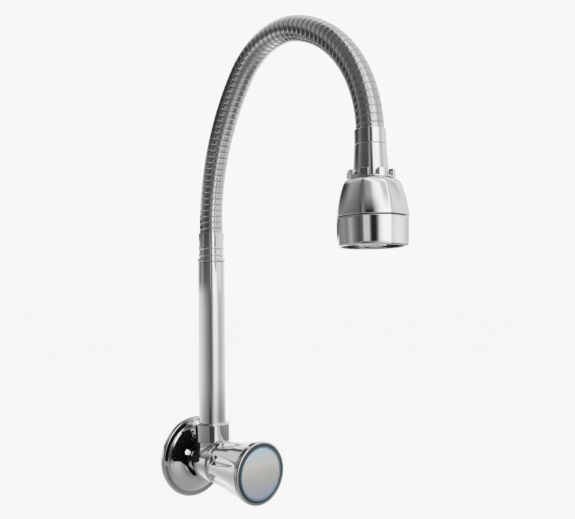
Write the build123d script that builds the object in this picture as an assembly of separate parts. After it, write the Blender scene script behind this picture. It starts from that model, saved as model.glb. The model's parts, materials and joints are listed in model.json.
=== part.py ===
from build123d import *
from math import ceil, cos, pi, radians, sin, sqrt
import os

os.makedirs("parts", exist_ok=True)

# A wall-mounted kitchen tap with a swivelling riser, a ribbed gooseneck hose and a spray head.
# Millimetres. The origin is on the inlet's axis in the plane of the wall. The valve's axis runs
# out of the wall along -Y, the riser stands along +Z, and the spout reaches out along -Y.
# On the valve's axis a place is given as its depth, the distance out from the wall.

# Clearances
running = 0.06        # radial, a shaft that turns in its hole
thread_play = 0.1     # radial, between screwed pieces
press_play = 0.03     # radial, between pieces that are pressed or brazed together
face_play = 0.1       # between flat faces that turn on each other
disc_play = 0.02      # between the two ceramic discs
seam_play = 0.4       # the visible seam between the bell and the mode ring

# Inlet and wall flange
thread_r = 10.48      # half inch pipe thread, over its crests
thread_in_wall = 14.0
shank_r = 10.1        # plain shank under the flange
shank_bore_r = 7.0
shank_chamfer = 1.0
flange_r = 32.9
flange_rim = 3.2
flange_step_r = 27.6
flange_step = 4.3
flange_hub_r = 13.5
flange_wall = 1.0
flange_depth = 9.0
rim_bevel = 0.9
dome_steps = 4

# Valve body
neck_r = 12.0
barrel_r = 16.5
shoulder_lead = 1.0   # the shoulder starts this far behind the seat
shoulder_round = 4.5
barrel_chamfer = 0.8
seat_depth = 21.0
seat_wall = 2.0
seat_hole_r = 5.5
chamber_r = 9.6
chamber_length = 16.0 # from the seat to the barrel's end
spout_inset = 11.0    # the riser's axis, back from the barrel's end
boss_top = 26.0
boss_wall = 3.6
foot_bore_r = 9.6
foot_bore_depth = 15.0
channel_r = 4.8

# Headwork
housing_gap = 0.9     # between the seat and the housing
housing_wall = 1.1
cavity_length = 8.2
window_r = 2.4
seal_t = 1.6
disc_t = 2.4
port_r = 2.5
port_at = 4.3
dog_t = 2.5
tongue_w = 3.0
tongue_t = 1.0
tongue_play = 0.1
hex_flats = 22.0
hex_t = 4.0
gland_r = 7.5
gland_length = 16.0   # out of the barrel
spindle_r = 4.2
spline_r = 3.9
spline_gap = 2.0
spline_length = 12.0
ring_t = 1.6          # width of every sealing ring
ring_squeeze = 1.3    # radial height of every sealing ring
housing_ring_inset = 3.5
spindle_ring_inset = 7.0

# Shroud between the barrel and the knob
shroud_r = 15.0
shroud_wall = 1.2
shroud_length = 7.4
shroud_chamfer = 0.8

# Knob
knob_gap = 6.4        # between the barrel's end and the knob
knob_back_r = 17.8
knob_lip = 3.0
knob_lip_slope = 4.0
knob_wall = 2.2
knob_front_r = 22.9
taper_length = 37.6
rim_r = 23.7
rim_length = 5.3
rim_round = 1.0
web_t = 3.0
hub_r = 6.6
hub_flare = 2.0
hub_gap = 0.2         # between the hub and the spindle's shoulder
flute_count = 8
flute_r = 8.0
flute_depth = 1.7
flute_run_out = 1.5
face_step = 2.0       # how far the ring and cap are let into the front
index_outer_r = 20.7
index_inner_r = 18.95
index_proud = 0.35
cap_play = 0.05
cap_crown = 0.9
cap_edge = 0.4
cap_steps = 3
screw_r = 2.0
screw_head_r = 3.9
screw_head_t = 2.2
screw_reach = 12.0

# Spout nut and the foot that turns in the boss
nut_wall = 0.6        # over the boss, at the flats
nut_corner = 1.3      # how far the corners stand past the flats
nut_reach = 10.2      # down over the boss
nut_lip = 2.2
nut_round_band = 1.6
collar_inset = 0.7    # the foot's collar is this much smaller than the boss
collar_t = 2.2
slip_t = 1.0
foot_bottom_gap = 0.3
foot_way_r = 6.5
foot_ring_gap = 3.4
foot_spigot = 10.0

# Riser
riser_r = 11.0
riser_wall = 1.1
riser_top = 164.0
riser_round = 0.5

# Gooseneck hose: straight, three tangent bends, straight. The last bend brings it upright again.
hose_r = 9.25
groove_depth = 0.7
hose_wall = 1.35      # under the grooves
straight_end = 18.7
bend_radii = (188.0, 60.0, 96.0)
first_turns = (38.8, 69.9)
rib_count = 60
rib_flat = 0.62       # share of a rib's pitch that is its flat crest
bow_limit = 0.6       # how far the straight bands of a bore may leave the true bend
tube_r = 5.0
tube_wall = 1.6
tube_play = 0.15

# Ferrules, one at each end of the hose
hose_play = 0.15
lower_sleeve_length = 24.0
lower_sleeve_wall = 0.8
lip_proud = 0.4       # past the riser
lip_t = 2.4
lip_bevel = 0.6
band_proud = 0.45
band_t = 1.7
band_centres = (5.3, 11.1)    # above the riser's top
insert_length = 14.0
socket_rise = 11.8    # the hose's lower end, above the riser's top
water_way_r = 3.4
upper_sleeve_rise = 20.39     # its top, above the hose's end
upper_sleeve_length = 10.3
upper_sleeve_wall = 1.1
sleeve_round = 0.5

# Swivel neck and stem
cone_length = 21.2
cone_flare = 1.2
cone_straight = 4.0
cone_chamfer = 0.8
stem_r = 8.0
stem_gap = 1.91       # between the stem and the hose's end
tube_in_stem = 6.0
stem_flange_r = 10.4
stem_flange_t = 3.0
washer_t = 1.0
spigot_r = 6.4
spigot_length = 6.0

# Spray head. The bell's rings are given as a drop from its top and a radius over the corners.
facet_count = 8
bell_gap = 1.8        # between the cone and the bell
bell_rings = ((0.0, 16.9), (3.4, 20.4), (9.7, 22.6), (17.2, 24.4), (24.6, 25.5))
throat_r = 13.0
throat_depth = 10.3
bell_wall = 2.4
lug_count = 8
lug_w = 6.0
lug_inner_r = 12.5
lug_outer_r = 16.0
lug_height = 5.9
collar_flange_t = 1.2
collar_depth = 6.0
collar_floor_t = 3.6
insert_play = 0.77    # between the insert and the bell's inside
insert_neck_play = 0.4
shoulder_rise = 2.6   # the insert's shoulder, above the bell's bottom
shoulder_slope = 3.0
insert_drop = 8.2     # the insert's bottom, below the bell's
snap_groove = 0.6
snap_drop = 1.2
snap_width = 2.6
snap_play = 0.35
ring_height = 18.8
ring_set_back = 0.3   # at its top, from the bell's corners
ring_taper = 0.7
ring_wall = 1.12      # at its bottom, in the middle of a facet
ring_lip = 1.1
ring_lip_t = 2.8
selector_t = 3.1
plate_t = 4.6
plate_play = 0.1
spray_count = 16
spray_hole_r = 0.9
spray_circle_r = 15.5
aerator_r = 9.0
aerator_wall = 1.2
aerator_drop = 2.0
mesh_t = 0.6
mesh_at = 1.4

barrel_depth = seat_depth + chamber_length
spout_y = spout_inset - barrel_depth
hose_start_z = riser_top + socket_rise


def outline(points, place):
    """A flat face through the points, each put in its place in the part."""
    return Face(Wire.make_polygon([place(point) for point in points], close=True))


def turned_out(*points):
    """Turned about the valve's axis. Each point is a radius and a depth."""
    face = outline(points, lambda p: (p[0], -p[1], 0))
    return Solid.revolve(face, 360, Axis.Y)


def turned_up(y, *points):
    """Turned about an upright axis at y. Each point is a radius and a height."""
    face = outline(points, lambda p: (p[0], y, p[1]))
    return Solid.revolve(face, 360, Axis((0, y, 0), (0, 0, 1)))


def rod_out(r, start, end, x=0.0, z=0.0):
    """A rod along the valve's axis, from one depth to another."""
    return Solid.make_cylinder(r, end - start, Plane(origin=(x, -start, z), z_dir=(0, -1, 0)))


def rod_up(y, r, bottom, top, x=0.0):
    """An upright rod."""
    return Solid.make_cylinder(r, top - bottom, Plane(origin=(x, y, bottom), z_dir=(0, 0, 1)))


def ring_out(inner, outer, start, end):
    return turned_out((inner, start), (outer, start), (outer, end), (inner, end))


def ring_up(y, inner, outer, bottom, top):
    return turned_up(y, (inner, bottom), (outer, bottom), (outer, top), (inner, top))


def around(count, first=0.0):
    """Equal angles round a circle, in radians."""
    return [radians(first) + 2 * pi * i / count for i in range(count)]


def facet_ring(z, r, count):
    """A level polygon with corners at radius r and a flat side facing each way along X and Y."""
    corners = [(r * cos(a), head_y + r * sin(a), z) for a in around(count, 180 / count)]
    return Wire.make_polygon(corners, close=True)


def bend_turns():
    return first_turns + (180.0 - sum(first_turns),)


def bends_length():
    return sum(r * radians(a) for r, a in zip(bend_radii, bend_turns()))


def hose_point(s):
    """The hose's centre at length s from its lower end: y, z and the angle it points up at."""
    y = spout_y
    z = hose_start_z
    heading = pi / 2
    if s <= straight_end:
        return y, z + s, heading
    z += straight_end
    left = s - straight_end
    for r, turn in zip(bend_radii, bend_turns()):
        part = min(left / r, radians(turn))
        centre_y = y - r * sin(heading)
        centre_z = z - r * cos(heading)
        heading -= part
        y = centre_y + r * sin(heading)
        z = centre_z + r * cos(heading)
        left -= r * part
    return y + left * -cos(heading), z + left * sin(heading), heading


def hose_circle(s, r):
    y, z, heading = hose_point(s)
    plane = Plane(origin=(0, y, z), x_dir=(1, 0, 0), z_dir=Vector(0, -cos(heading), sin(heading)))
    return Wire([Edge.make_circle(r, plane)])


def bend_stations():
    """Lengths along the hose at which a plain band of a bore or tube begins."""
    stations = [straight_end]
    for r, turn in zip(bend_radii, bend_turns()):
        length = r * radians(turn)
        steps = ceil(length / sqrt(8 * r * bow_limit))
        first = stations[-1]
        stations += [first + length * i / steps for i in range(1, steps + 1)]
    return stations


def hose_rod(r, start, end):
    """A plain rod that follows the hose."""
    circles = [hose_circle(s, r) for s in [start] + bend_stations() + [end]]
    return Solid.make_loft(circles, ruled=True)


hose_length = bends_length() + 2 * straight_end
head_y, hose_end_z = hose_point(hose_length)[:2]


def wall_flange():
    hub = flange_depth - press_play
    inside = hub - flange_wall
    hole = thread_r + thread_play * 2
    dome = []
    for i in range(dome_steps + 1):
        share = i / dome_steps
        r = flange_step_r + share * (flange_hub_r - flange_step_r)
        dome.append((r, flange_step + (hub - flange_step) * sin(share * pi / 2)))
    under = [(r - flange_wall / 2, depth - flange_wall) for r, depth in dome]
    return turned_out(
        (flange_r, 0),
        (flange_r, flange_rim - rim_bevel),
        (flange_r - rim_bevel, flange_rim),
        *dome,
        (hole, hub),
        (hole, inside),
        *reversed(under),
        (flange_r - rim_bevel - flange_wall, flange_rim - flange_wall),
        (flange_r - flange_wall, 0),
    )


def valve_body():
    corner = shoulder_round * (1 - cos(pi / 6))
    body = turned_out(
        (shank_bore_r, -thread_in_wall),
        (thread_r - shank_chamfer, -thread_in_wall),
        (thread_r, shank_chamfer - thread_in_wall),
        (thread_r, 0.5),
        (shank_r, 0.5),
        (shank_r, flange_depth),
        (neck_r, flange_depth),
        (neck_r, shoulder_depth),
        (barrel_r - shoulder_round / 2, shoulder_depth + corner),
        (barrel_r - corner, shoulder_depth + shoulder_round / 2),
        (barrel_r, shoulder_depth + shoulder_round),
        (barrel_r, barrel_depth - barrel_chamfer),
        (barrel_r - barrel_chamfer, barrel_depth),
        (chamber_r, barrel_depth),
        (chamber_r, seat_depth),
        (seat_hole_r, seat_depth),
        (seat_hole_r, seat_depth - seat_wall),
        (shank_bore_r, seat_depth - seat_wall),
    )
    boss = rod_up(spout_y, boss_r, 0, boss_top)
    boss -= rod_out(barrel_r - 1, flange_depth, barrel_depth + boss_r)
    body += boss
    body -= rod_up(spout_y, foot_bore_r, foot_bore_floor, boss_top)
    body -= rod_up(spout_y, channel_r, 0, boss_top)
    return body


def seat_seal():
    return ring_out(seat_hole_r + 0.2, cavity_r - 0.2, seat_depth, seat_depth + seal_t)


def disc(start, end, first):
    """A ceramic disc with two ports, the first of them at an angle from +X."""
    body = rod_out(cavity_r - thread_play, start, end)
    for angle in around(2, first):
        body -= rod_out(port_r, start, end, port_at * cos(angle), port_at * sin(angle))
    return body


def fixed_disc():
    return disc(fixed_disc_start, fixed_disc_end, 0)


def moving_disc():
    body = disc(moving_disc_start, moving_disc_end, 90)
    slot = Solid.make_box(4 * cavity_r, tongue_t, tongue_w + 2 * tongue_play)
    at = Location((-2 * cavity_r, -moving_disc_end, -tongue_w / 2 - tongue_play))
    return body - slot.moved(at)


def spindle():
    dog_r = cavity_r - 2 * thread_play
    hole_r = screw_r + thread_play
    body = turned_out(
        (0, moving_disc_end + disc_play),
        (dog_r, moving_disc_end + disc_play),
        (dog_r, dog_end),
        (spindle_r, dog_end),
        (spindle_r, spindle_ring_at),
        (spindle_r - ring_squeeze, spindle_ring_at),
        (spindle_r - ring_squeeze, spindle_ring_at + ring_t),
        (spindle_r, spindle_ring_at + ring_t),
        (spindle_r, spline_start),
        (spline_r, spline_start),
        (spline_r, spindle_end),
        (hole_r, spindle_end),
        (hole_r, spindle_end - screw_reach),
        (0, spindle_end - screw_reach),
    )
    bar = Solid.make_box(2 * dog_r - 1, tongue_t, tongue_w)
    start = moving_disc_end - tongue_t + 2 * disc_play
    bar = bar.moved(Location((-dog_r + 0.5, -start - tongue_t, -tongue_w / 2)))
    return body + bar


def spindle_seal():
    start = spindle_ring_at + press_play
    return ring_out(
        spindle_r - ring_squeeze + press_play,
        spindle_r + press_play,
        start,
        spindle_ring_at + ring_t - press_play,
    )


def cartridge_body():
    outer = chamber_r - thread_play
    hex_end = barrel_depth + press_play + hex_t
    groove = outer - ring_squeeze / 2
    housing = turned_out(
        (cavity_r, housing_start),
        (outer, housing_start),
        (outer, housing_ring_at),
        (groove, housing_ring_at),
        (groove, housing_ring_at + ring_t),
        (outer, housing_ring_at + ring_t),
        (outer, hex_end),
        (gland_r, hex_end),
        (gland_r, gland_end),
        (spindle_r + running, gland_end),
        (spindle_r + running, cavity_end),
        (cavity_r, cavity_end),
    )
    hexagon = RegularPolygon(hex_flats / 2, 6, major_radius=False).face()
    plane = Plane(origin=(0, -barrel_depth - press_play, 0), x_dir=(1, 0, 0), z_dir=(0, -1, 0))
    nut = Solid.extrude(plane * hexagon, Vector(0, -hex_t, 0))
    nut -= rod_out(outer - 0.5, barrel_depth, hex_end + 1)
    housing += nut
    window = rod_up(-(cavity_end - window_r - 0.3), window_r, -chamber_r, chamber_r)
    window -= rod_out(cavity_r - 0.5, housing_start, cavity_end)
    return housing - window


def cartridge_seal():
    outer = chamber_r - thread_play
    start = housing_ring_at + press_play
    return ring_out(
        outer - ring_squeeze / 2 + press_play,
        chamber_r - press_play,
        start,
        housing_ring_at + ring_t - press_play,
    )


def bonnet_shroud():
    start = barrel_depth + press_play
    hole = gland_r + thread_play
    inner = shroud_r - shroud_wall
    return turned_out(
        (inner, start),
        (shroud_r, start),
        (shroud_r, shroud_end - shroud_chamfer),
        (shroud_r - shroud_chamfer, shroud_end),
        (hole, shroud_end),
        (hole, shroud_end - shroud_wall),
        (inner, shroud_end - shroud_wall),
    )


def knob_radius(depth):
    """The knob's tapered outside."""
    share = (depth - knob_start) / (rim_start - knob_start)
    return knob_back_r + share * (knob_front_r - knob_back_r)


def flute(angle):
    """A straight scoop in the knob's side. It is deepest at the back and runs out by the rim."""
    start = knob_start + knob_lip
    end = rim_start - flute_run_out
    back = knob_radius(start) + flute_r - flute_depth
    front = knob_radius(end) + flute_r
    a = Vector(back * cos(angle), -start, back * sin(angle))
    b = Vector(front * cos(angle), -end, front * sin(angle))
    return Solid.make_cylinder(flute_r, (b - a).length, Plane(origin=a, z_dir=b - a))


def knob_handle():
    lip_end = knob_start + knob_lip + knob_lip_slope
    web_start = face_start - web_t
    web_in_r = knob_radius(web_start) - knob_wall
    body = turned_out(
        (knob_back_r - knob_wall, knob_start),
        (knob_back_r, knob_start),
        (knob_front_r, rim_start),
        (rim_r, rim_start + rim_round),
        (rim_r, rim_end - rim_round),
        (rim_r - rim_round * 0.3, rim_end - rim_round * 0.3),
        (rim_r - rim_round, rim_end),
        (index_outer_r + cap_play, rim_end),
        (index_outer_r + cap_play, face_start),
        (screw_head_r + thread_play, face_start),
        (screw_head_r + thread_play, face_start - screw_head_t),
        (screw_r + thread_play, face_start - screw_head_t),
        (screw_r + thread_play, spindle_end + press_play),
        (spline_r + press_play, spindle_end + press_play),
        (spline_r + press_play, spline_start + hub_gap),
        (hub_r, spline_start + hub_gap),
        (hub_r, web_start - hub_flare),
        (hub_r + hub_flare, web_start),
        (web_in_r, web_start),
        (knob_back_r - knob_wall, lip_end),
    )
    for angle in around(flute_count, 180 / flute_count):
        body -= flute(angle)
    return body


def knob_screw():
    head = face_start - screw_head_t
    tip = spindle_end - screw_reach + 1
    body = turned_out(
        (0, tip),
        (screw_r, tip),
        (screw_r, head),
        (screw_head_r, head),
        (screw_head_r, face_start - 0.4),
        (0, face_start - 0.4),
    )
    return body - rod_out(1.5, face_start - 1.6, face_start)


def index_ring():
    return ring_out(index_inner_r, index_outer_r, face_start, rim_end + index_proud)


def cap_disc():
    r = index_inner_r - cap_play
    edge = rim_end + index_proud / 2
    points = [(0, face_start), (r, face_start), (r, edge - cap_edge)]
    for i in range(cap_steps + 1):
        share = 1 - i / cap_steps
        points.append(((r - cap_edge) * share, edge + cap_crown * (1 - share ** 2)))
    return turned_out(*points)


def spout_nut():
    lip = nut_top - nut_lip
    body = rod_up(spout_y, nut_r, nut_start, nut_top)
    hexagon = RegularPolygon(nut_flats / 2, 6, major_radius=False).face()
    plane = Plane(origin=(0, spout_y, nut_start + nut_round_band))
    band = nut_top - nut_start - 2 * nut_round_band
    flats = Solid.extrude(plane * hexagon, Vector(0, 0, band))
    ring = ring_up(spout_y, nut_flats / 2 - 1, nut_r + 1, nut_start + nut_round_band,
                   nut_top - nut_round_band)
    body -= ring - flats
    body -= rod_up(spout_y, boss_r + thread_play, nut_start, lip)
    body -= rod_up(spout_y, riser_r + thread_play * 2, nut_start, nut_top)
    return body


def foot_ring_starts():
    first = foot_bottom + foot_ring_gap / 2
    return (first, first + ring_t + foot_ring_gap)


def spout_foot():
    r = foot_bore_r - running
    groove = r - ring_squeeze
    low, high = foot_ring_starts()
    body = turned_up(
        spout_y,
        (foot_way_r, foot_bottom),
        (r, foot_bottom),
        (r, boss_top + face_play),
        (collar_r, boss_top + face_play),
        (collar_r, collar_top),
        (riser_bore_r - press_play, collar_top),
        (riser_bore_r - press_play, collar_top + foot_spigot),
        (foot_way_r, collar_top + foot_spigot),
    )
    for start in (low, high):
        body -= ring_up(spout_y, groove, r + 1, start, start + ring_t)
    return body


def spout_seals():
    r = foot_bore_r - running
    rings = []
    for start in foot_ring_starts():
        rings.append(ring_up(spout_y, r - ring_squeeze + press_play, r + running / 2,
                             start + press_play, start + ring_t - press_play))
    return Compound(children=rings)


def slip_ring():
    bottom = collar_top + press_play
    return ring_up(spout_y, riser_r + thread_play, collar_r, bottom, bottom + slip_t)


def riser_tube():
    return turned_up(
        spout_y,
        (riser_bore_r, collar_top + press_play),
        (riser_r, collar_top + press_play),
        (riser_r, riser_top - riser_round),
        (riser_r - riser_round, riser_top),
        (riser_bore_r, riser_top),
    )


def lower_ferrule():
    lip_bottom = riser_top + press_play
    lip_top = lip_bottom + lip_t
    insert_r_ = riser_bore_r - press_play
    socket = hose_start_z - press_play
    seat = hose_r + hose_play
    points = [
        (water_way_r, riser_top - insert_length),
        (insert_r_, riser_top - insert_length),
        (insert_r_, lip_bottom),
        (lip_r - lip_bevel, lip_bottom),
        (lip_r, lip_bottom + lip_bevel),
        (lip_r, lip_top - lip_bevel),
        (lip_r - lip_bevel, lip_top),
        (lower_sleeve_r, lip_top),
    ]
    for centre in band_centres:
        middle = riser_top + centre
        points += [
            (lower_sleeve_r, middle - band_t / 2),
            (band_r, middle - band_t / 4),
            (band_r, middle + band_t / 4),
            (lower_sleeve_r, middle + band_t / 2),
        ]
    points += [
        (lower_sleeve_r, lower_sleeve_top - sleeve_round),
        (lower_sleeve_r - sleeve_round, lower_sleeve_top),
        (seat, lower_sleeve_top),
        (seat, socket),
        (tube_r + tube_play, socket),
        (tube_r + tube_play, tube_start_z - press_play),
        (water_way_r, tube_start_z - press_play),
    ]
    return turned_up(spout_y, *points)


def gooseneck_hose():
    """Ribs with a flat crest and a sharp groove between them, and plain ends in the ferrules."""
    first = lower_sleeve_top - hose_start_z + press_play
    last = hose_length - (upper_sleeve_top - hose_end_z) - press_play
    pitch = (last - first) / rib_count
    circles = [hose_circle(0, hose_r), hose_circle(first - pitch * (1 - rib_flat), hose_r)]
    for i in range(rib_count + 1):
        groove = first + i * pitch
        slope = pitch * (1 - rib_flat) / 2
        if i:
            circles.append(hose_circle(groove - slope, hose_r))
        circles.append(hose_circle(groove, groove_r))
        if i < rib_count:
            circles.append(hose_circle(groove + slope, hose_r))
    circles.append(hose_circle(last + pitch * (1 - rib_flat), hose_r))
    circles.append(hose_circle(hose_length, hose_r))
    outer = Solid.make_loft(circles, ruled=True)
    return outer - hose_rod(hose_bore_r, 0, hose_length)


def water_tube():
    start = tube_start_z - hose_start_z
    end = hose_length + (hose_end_z - tube_end_z)
    return hose_rod(tube_r, start, end) - hose_rod(tube_r - tube_wall, start, end)


def upper_ferrule():
    return turned_up(
        head_y,
        (hose_r + hose_play, upper_sleeve_bottom + press_play),
        (upper_sleeve_r, upper_sleeve_bottom + press_play),
        (upper_sleeve_r, upper_sleeve_top - sleeve_round),
        (upper_sleeve_r - sleeve_round, upper_sleeve_top),
        (hose_r + hose_play, upper_sleeve_top),
    )


def swivel_neck():
    socket = hose_end_z - press_play
    seat = hose_r + hose_play
    thread = stem_r + thread_play
    return turned_up(
        head_y,
        (thread, cone_bottom),
        (cone_bottom_r - cone_chamfer, cone_bottom),
        (cone_bottom_r, cone_bottom + cone_chamfer),
        (cone_bottom_r - 0.1, cone_bottom + cone_straight),
        (upper_sleeve_r, upper_sleeve_bottom),
        (seat, upper_sleeve_bottom),
        (seat, socket),
        (thread, socket),
    )


def swivel_stem():
    spigot_bottom = stem_bottom - spigot_length
    groove = spigot_r - ring_squeeze
    ring = spigot_bottom + ring_t
    return turned_up(
        head_y,
        (water_way_r, spigot_bottom),
        (spigot_r, spigot_bottom),
        (spigot_r, ring),
        (groove, ring),
        (groove, ring + ring_t),
        (spigot_r, ring + ring_t),
        (spigot_r, stem_bottom),
        (stem_flange_r, stem_bottom),
        (stem_flange_r, stem_bottom + stem_flange_t),
        (stem_r, stem_bottom + stem_flange_t),
        (stem_r, stem_top),
        (tube_r + tube_play, stem_top),
        (tube_r + tube_play, tube_end_z - press_play),
        (water_way_r, tube_end_z - press_play),
    )


def swivel_seal():
    ring = stem_bottom - spigot_length + ring_t
    inner = spigot_r - ring_squeeze + press_play
    return ring_up(head_y, inner, spigot_r + running / 2, ring + press_play,
                   ring + ring_t - press_play)


def swivel_washer():
    bottom = stem_bottom + stem_flange_t + press_play
    return ring_up(head_y, stem_r + press_play, stem_flange_r, bottom, bottom + washer_t)


def swivel_collar():
    flange_bottom = bell_top + press_play
    flange_top = flange_bottom + collar_flange_t
    thread = throat_r - thread_play
    body = turned_up(
        head_y,
        (stem_r + running, collar_floor),
        (thread, collar_floor),
        (thread, flange_bottom),
        (lug_outer_r, flange_bottom),
        (lug_outer_r, flange_top),
        (lug_inner_r, flange_top),
        (lug_inner_r - 1, collar_floor + collar_floor_t),
        (stem_r + running, collar_floor + collar_floor_t),
    )
    crown = ring_up(head_y, lug_inner_r, lug_outer_r, flange_top - 0.2, lug_top)
    reach = 2 * lug_outer_r
    for i in range(lug_count // 2):
        bar = Solid.make_box(reach * 2, lug_w, lug_top)
        bar = bar.moved(Location((-reach, -lug_w / 2, 0)))
        bar = bar.rotate(Axis.Z, 360 * (i + 0.5) / lug_count)
        bar = bar.moved(Location((0, head_y, 0)))
        body += crown & bar
    return body


def bell_shell():
    wires = [facet_ring(bell_top - drop, r, facet_count) for drop, r in bell_rings]
    flank = Solid.make_loft(wires[1:])
    shoulder = Solid.make_loft(wires[:2], ruled=True)
    body = flank + shoulder
    low = bell_bottom
    high = bell_rings[2][1] * cos(pi / facet_count) - bell_wall
    body -= turned_up(
        head_y,
        (0, low),
        (bell_inner_r, low),
        (high, bell_top - bell_rings[2][0] - bell_wall),
        (throat_r, bell_top - throat_depth),
        (throat_r, bell_top),
        (0, bell_top),
    )
    return body


def head_insert():
    groove = insert_r - snap_groove
    top = stem_bottom - 2 * face_play
    socket = stem_bottom - spigot_length - face_play
    return turned_up(
        head_y,
        (water_way_r, insert_bottom),
        (insert_r, insert_bottom),
        (insert_r, snap_bottom),
        (groove, snap_bottom),
        (groove, snap_top),
        (insert_r, snap_top),
        (insert_r, insert_shoulder),
        (insert_neck_r, insert_shoulder + shoulder_slope),
        (insert_neck_r, top),
        (spigot_r + running, top),
        (spigot_r + running, socket),
        (water_way_r, socket),
    )


def mode_ring():
    top = bell_bottom - seam_play
    outer = Solid.make_loft(
        [facet_ring(ring_bottom, ring_bottom_r, facet_count),
         facet_ring(top, ring_top_r, facet_count)],
        ruled=True,
    )
    lip = ring_inner_r - ring_lip
    bead = insert_r - snap_groove + thread_play
    inside = turned_up(
        head_y,
        (0, ring_bottom),
        (lip, ring_bottom),
        (lip, ring_bottom + ring_lip_t),
        (ring_inner_r, ring_bottom + ring_lip_t),
        (ring_inner_r, snap_bottom + snap_play - 0.5),
        (bead, snap_bottom + snap_play),
        (bead, snap_top - snap_play),
        (ring_inner_r, snap_top - snap_play + 0.5),
        (ring_inner_r, top),
        (0, top),
    )
    return outer - inside


def selector_disc():
    bottom = insert_bottom - face_play - selector_t
    body = rod_up(head_y, ring_inner_r - plate_play, bottom, bottom + selector_t)
    body -= rod_up(head_y, water_way_r, bottom, bottom + selector_t)
    for angle in around(3, 90):
        x = spray_circle_r * cos(angle)
        y = head_y + spray_circle_r * sin(angle)
        body -= rod_up(y, port_r, bottom, bottom + selector_t, x)
    return body


def nozzle_plate():
    bottom = ring_bottom + ring_lip_t + press_play
    body = ring_up(head_y, aerator_r + plate_play, ring_inner_r - plate_play, bottom,
                   bottom + plate_t)
    for angle in around(spray_count):
        x = spray_circle_r * cos(angle)
        y = head_y + spray_circle_r * sin(angle)
        body -= rod_up(y, spray_hole_r, bottom, bottom + plate_t, x)
    return body


def aerator_housing():
    top = ring_bottom + ring_lip_t + plate_t
    bottom = ring_bottom + ring_lip_t - aerator_drop
    inner = aerator_r - aerator_wall
    return turned_up(
        head_y,
        (inner, bottom),
        (aerator_r, bottom),
        (aerator_r, top),
        (water_way_r, top),
        (water_way_r, top - aerator_wall),
        (inner, top - aerator_wall),
    )


def aerator_mesh():
    bottom = ring_bottom + ring_lip_t - aerator_drop + mesh_at
    return rod_up(head_y, aerator_r - aerator_wall - press_play, bottom, bottom + mesh_t)


# The headwork and the knob follow the barrel's end and its seat.
shoulder_depth = seat_depth - shoulder_lead
housing_start = seat_depth + housing_gap
cavity_end = housing_start + cavity_length
housing_ring_at = barrel_depth - housing_ring_inset
gland_end = barrel_depth + gland_length
spindle_ring_at = gland_end - spindle_ring_inset
spline_start = gland_end + spline_gap
spindle_end = spline_start + spline_length
shroud_end = barrel_depth + shroud_length
knob_start = barrel_depth + knob_gap
rim_start = knob_start + taper_length
rim_end = rim_start + rim_length
cavity_r = chamber_r - thread_play - housing_wall
fixed_disc_start = seat_depth + seal_t + press_play
fixed_disc_end = fixed_disc_start + disc_t
moving_disc_start = fixed_disc_end + disc_play
moving_disc_end = moving_disc_start + disc_t
dog_end = moving_disc_end + dog_t - disc_play
face_start = rim_end - face_step

# The foot, the nut and the riser follow the boss.
boss_r = foot_bore_r + boss_wall
foot_bore_floor = boss_top - foot_bore_depth
collar_r = boss_r - collar_inset
nut_flats = 2 * (boss_r + nut_wall)
nut_r = nut_flats / 2 + nut_corner
nut_start = boss_top - nut_reach
collar_top = boss_top + face_play + collar_t
nut_top = collar_top + press_play + slip_t + face_play + nut_lip
foot_bottom = foot_bore_floor + foot_bottom_gap
riser_bore_r = riser_r - riser_wall

# The hose, its tube and its ferrules.
groove_r = hose_r - groove_depth
hose_bore_r = groove_r - hose_wall
lower_sleeve_top = riser_top + lower_sleeve_length
lower_sleeve_r = hose_r + hose_play + lower_sleeve_wall
band_r = lower_sleeve_r + band_proud
lip_r = riser_r + lip_proud
upper_sleeve_r = hose_r + hose_play + upper_sleeve_wall
cone_bottom_r = upper_sleeve_r + cone_flare
tube_start_z = riser_top + lip_t / 2

# The neck and the head hang from the hose's end.
upper_sleeve_top = hose_end_z + upper_sleeve_rise
upper_sleeve_bottom = upper_sleeve_top - upper_sleeve_length
stem_top = hose_end_z - stem_gap
tube_end_z = stem_top - tube_in_stem
cone_bottom = upper_sleeve_bottom - cone_length
bell_top = cone_bottom - bell_gap
bell_bottom = bell_top - bell_rings[-1][0]
lug_top = bell_top + lug_height
collar_floor = bell_top - collar_depth
insert_shoulder = bell_bottom + shoulder_rise
insert_bottom = bell_bottom - insert_drop
snap_top = bell_bottom - snap_drop
snap_bottom = snap_top - snap_width
ring_bottom = bell_bottom - seam_play - ring_height
bell_inner_r = bell_rings[-1][1] * cos(pi / facet_count) - bell_wall
insert_r = bell_inner_r - insert_play
insert_neck_r = throat_r - insert_neck_play
ring_top_r = bell_rings[-1][1] - ring_set_back
ring_bottom_r = ring_top_r - ring_taper
ring_inner_r = ring_bottom_r * cos(pi / facet_count) - ring_wall
stem_bottom = collar_floor - face_play - washer_t - press_play - stem_flange_t

makers = (
    wall_flange,
    valve_body,
    seat_seal,
    fixed_disc,
    moving_disc,
    spindle,
    spindle_seal,
    cartridge_body,
    cartridge_seal,
    bonnet_shroud,
    knob_handle,
    knob_screw,
    index_ring,
    cap_disc,
    spout_nut,
    spout_foot,
    spout_seals,
    slip_ring,
    riser_tube,
    lower_ferrule,
    gooseneck_hose,
    water_tube,
    upper_ferrule,
    swivel_neck,
    swivel_stem,
    swivel_seal,
    swivel_washer,
    swivel_collar,
    bell_shell,
    head_insert,
    mode_ring,
    selector_disc,
    nozzle_plate,
    aerator_housing,
    aerator_mesh,
)
for maker in makers:
    export_step(maker(), f"parts/{maker.__name__}.step")

print("hose length", round(hose_length, 1), "bend radii", bend_radii, "turns", bend_turns())
print("spray head's axis at y", round(head_y, 2), "hose ends at z", round(hose_end_z, 2))
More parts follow.
